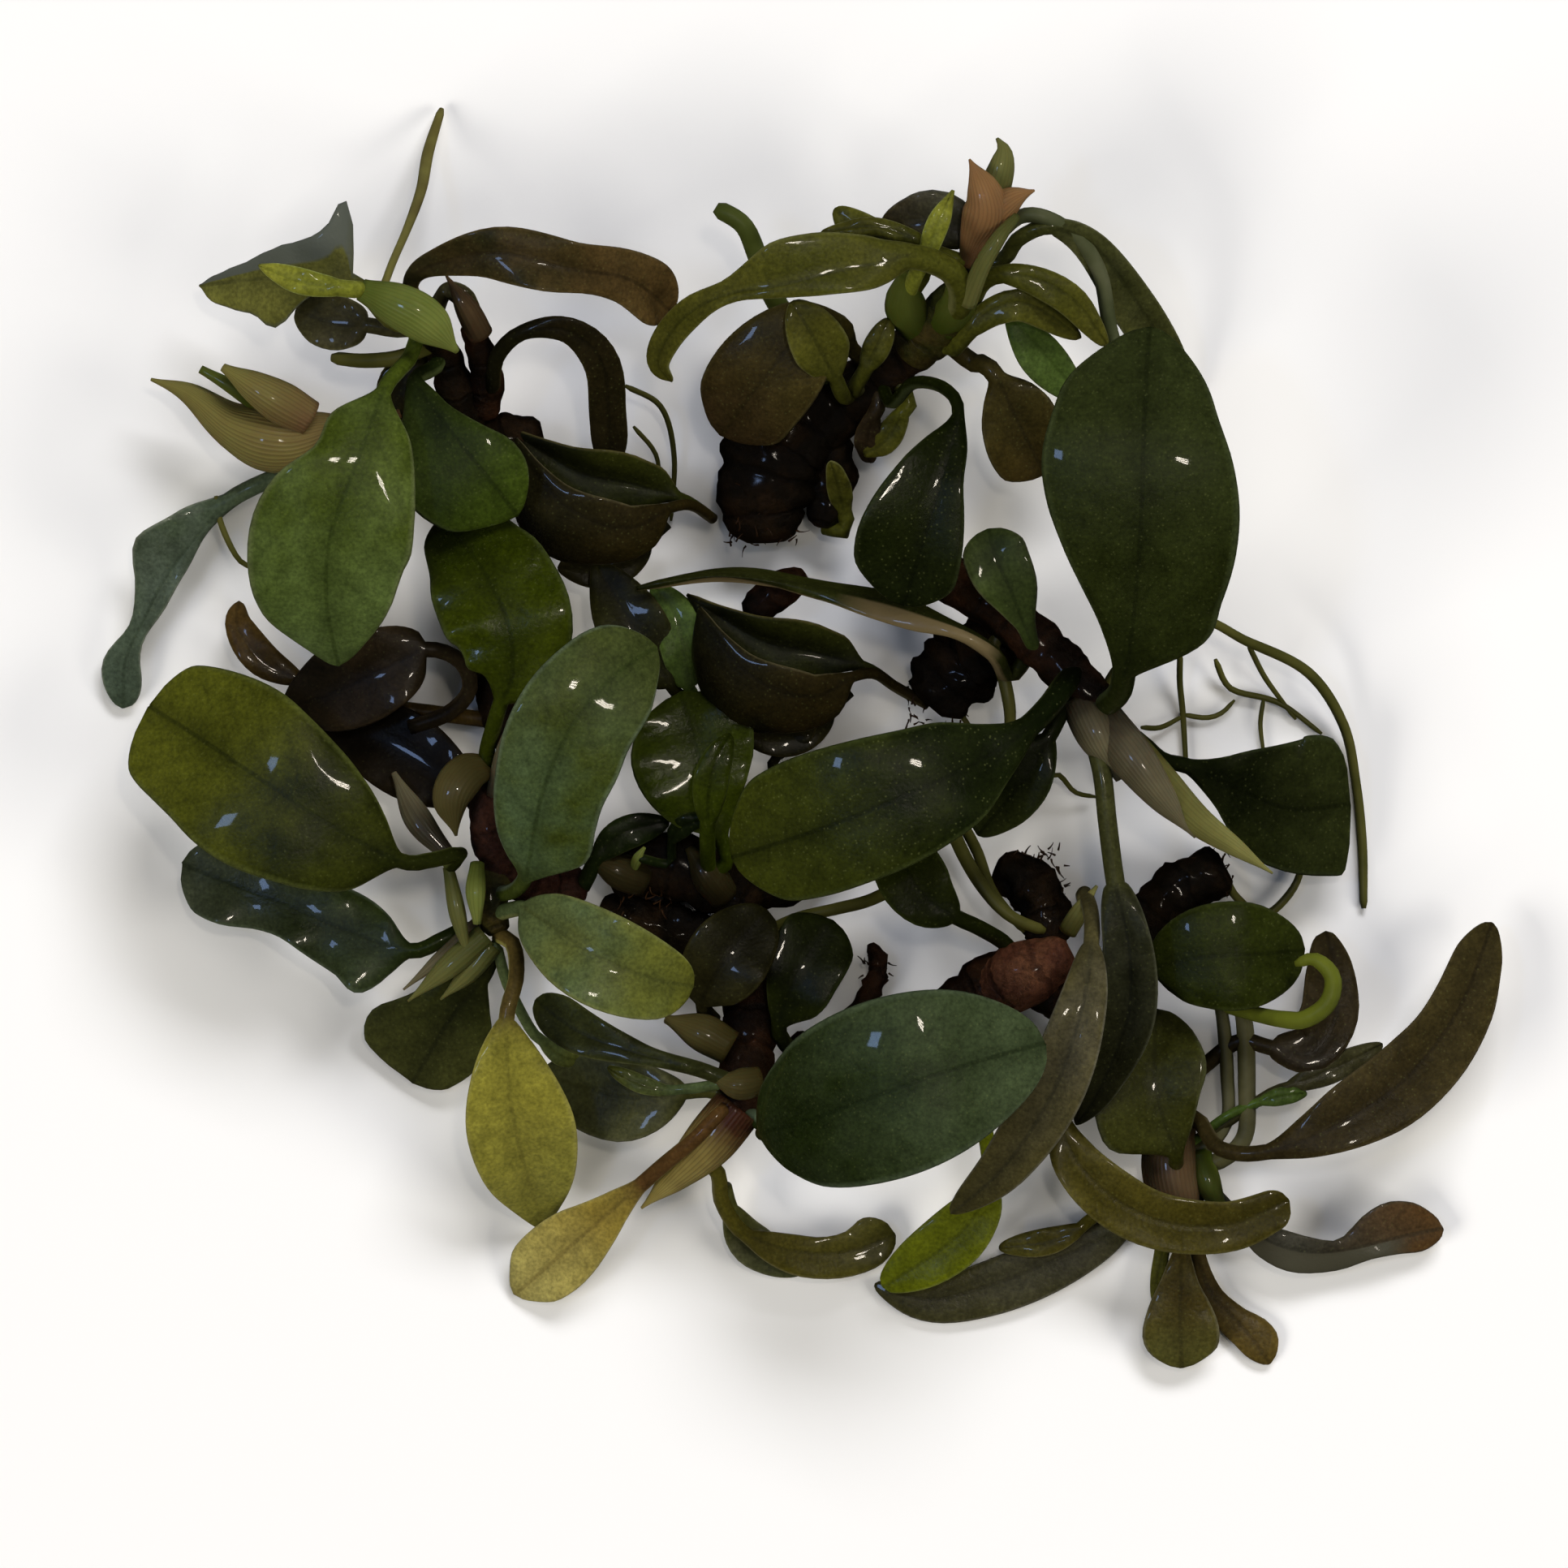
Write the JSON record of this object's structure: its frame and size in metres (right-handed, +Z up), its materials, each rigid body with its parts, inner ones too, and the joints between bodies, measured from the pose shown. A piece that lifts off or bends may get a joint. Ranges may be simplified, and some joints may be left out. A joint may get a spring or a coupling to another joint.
{
  "type": "aquarium plant clump",
  "caption": "Low spreading clump of dark, stalked oval leaves on short branching rhizomes, with leaf buds and a few thin roots, lying loose as cut from its tank.",
  "frame": {"origin": "middle of the clump's outline from above, on the surface it lies on", "axes": "+X along the longest spread of the leaves, +Y across it, +Z up from the surface"},
  "size_m": [0.0868, 0.0782, 0.0189],
  "materials": {
    "leaf_green": "glossy thick dark green leaf",
    "leaf_blue": "bluish green leaf with a soft shine",
    "leaf_lime": "young yellow-green leaf",
    "leaf_brown": "old brown-olive leaf",
    "rhizome": "near-black brown creeping stem, pinkish at its crowns",
    "bud": "pink-brown to pale green leaf sheaths",
    "root": "thin olive roots"
  },
  "bodies": {
    "root": {"bud_northwest": "bud", "bud_west_bulb": "bud", "leaf_east_blunt": "leaf_green", "leaf_east_edge": "leaf_green", "leaf_east_hanging": "leaf_blue", "leaf_east_large": "leaf_green", "leaf_east_speckled": "leaf_green", "leaf_mid_brown": "leaf_brown", "leaf_mid_folded": "leaf_green", "leaf_mid_folded_b": "leaf_green", "leaf_mid_glossy": "leaf_green", "leaf_north_broad": "leaf_green", "leaf_north_brown": "leaf_brown", "leaf_north_drooping": "leaf_green", "leaf_north_speckled": "leaf_green", "leaf_north_stalked": "leaf_brown", "leaf_nw_arching": "leaf_brown", "leaf_nw_flared": "leaf_blue", "leaf_nw_hook": "leaf_green", "leaf_nw_large": "leaf_green", "leaf_nw_round": "leaf_green", "leaf_nw_twisted": "leaf_blue", "leaf_se_boat": "leaf_green", "leaf_se_curled": "leaf_brown", "leaf_se_folded": "leaf_blue", "leaf_se_green": "leaf_green", "leaf_se_grey": "leaf_blue", "leaf_se_lime": "leaf_lime", "leaf_se_olive": "leaf_green", "leaf_se_sickle": "leaf_brown", "leaf_se_small": "leaf_green", "leaf_se_spoon": "leaf_green", "leaf_se_spoon_b": "leaf_brown", "leaf_se_twisted": "leaf_brown", "leaf_south_amber": "leaf_lime", "leaf_south_brown": "leaf_brown", "leaf_south_dark": "leaf_green", "leaf_south_large": "leaf_blue", "leaf_south_low": "leaf_green", "leaf_south_narrow": "leaf_green", "leaf_south_pale": "leaf_blue", "leaf_west_broad": "leaf_green", "leaf_west_glaucous": "leaf_blue", "leaf_west_glossy": "leaf_green", "leaf_west_lime": "leaf_lime", "leaf_west_low": "leaf_green", "leaf_west_olive": "leaf_lime", "leaf_west_wavy": "leaf_blue", "rhizome_east": "rhizome", "rhizome_hub": "rhizome", "rhizome_north": "rhizome", "rhizome_northwest": "rhizome", "rhizome_south": "rhizome", "rhizome_southeast": "rhizome", "rhizome_west": "rhizome", "root_arc": "root", "sheath_north": "bud", "shoot_north": "root", "spear_east": "bud", "spear_lime": "leaf_lime"}
  },
  "joints": []
}
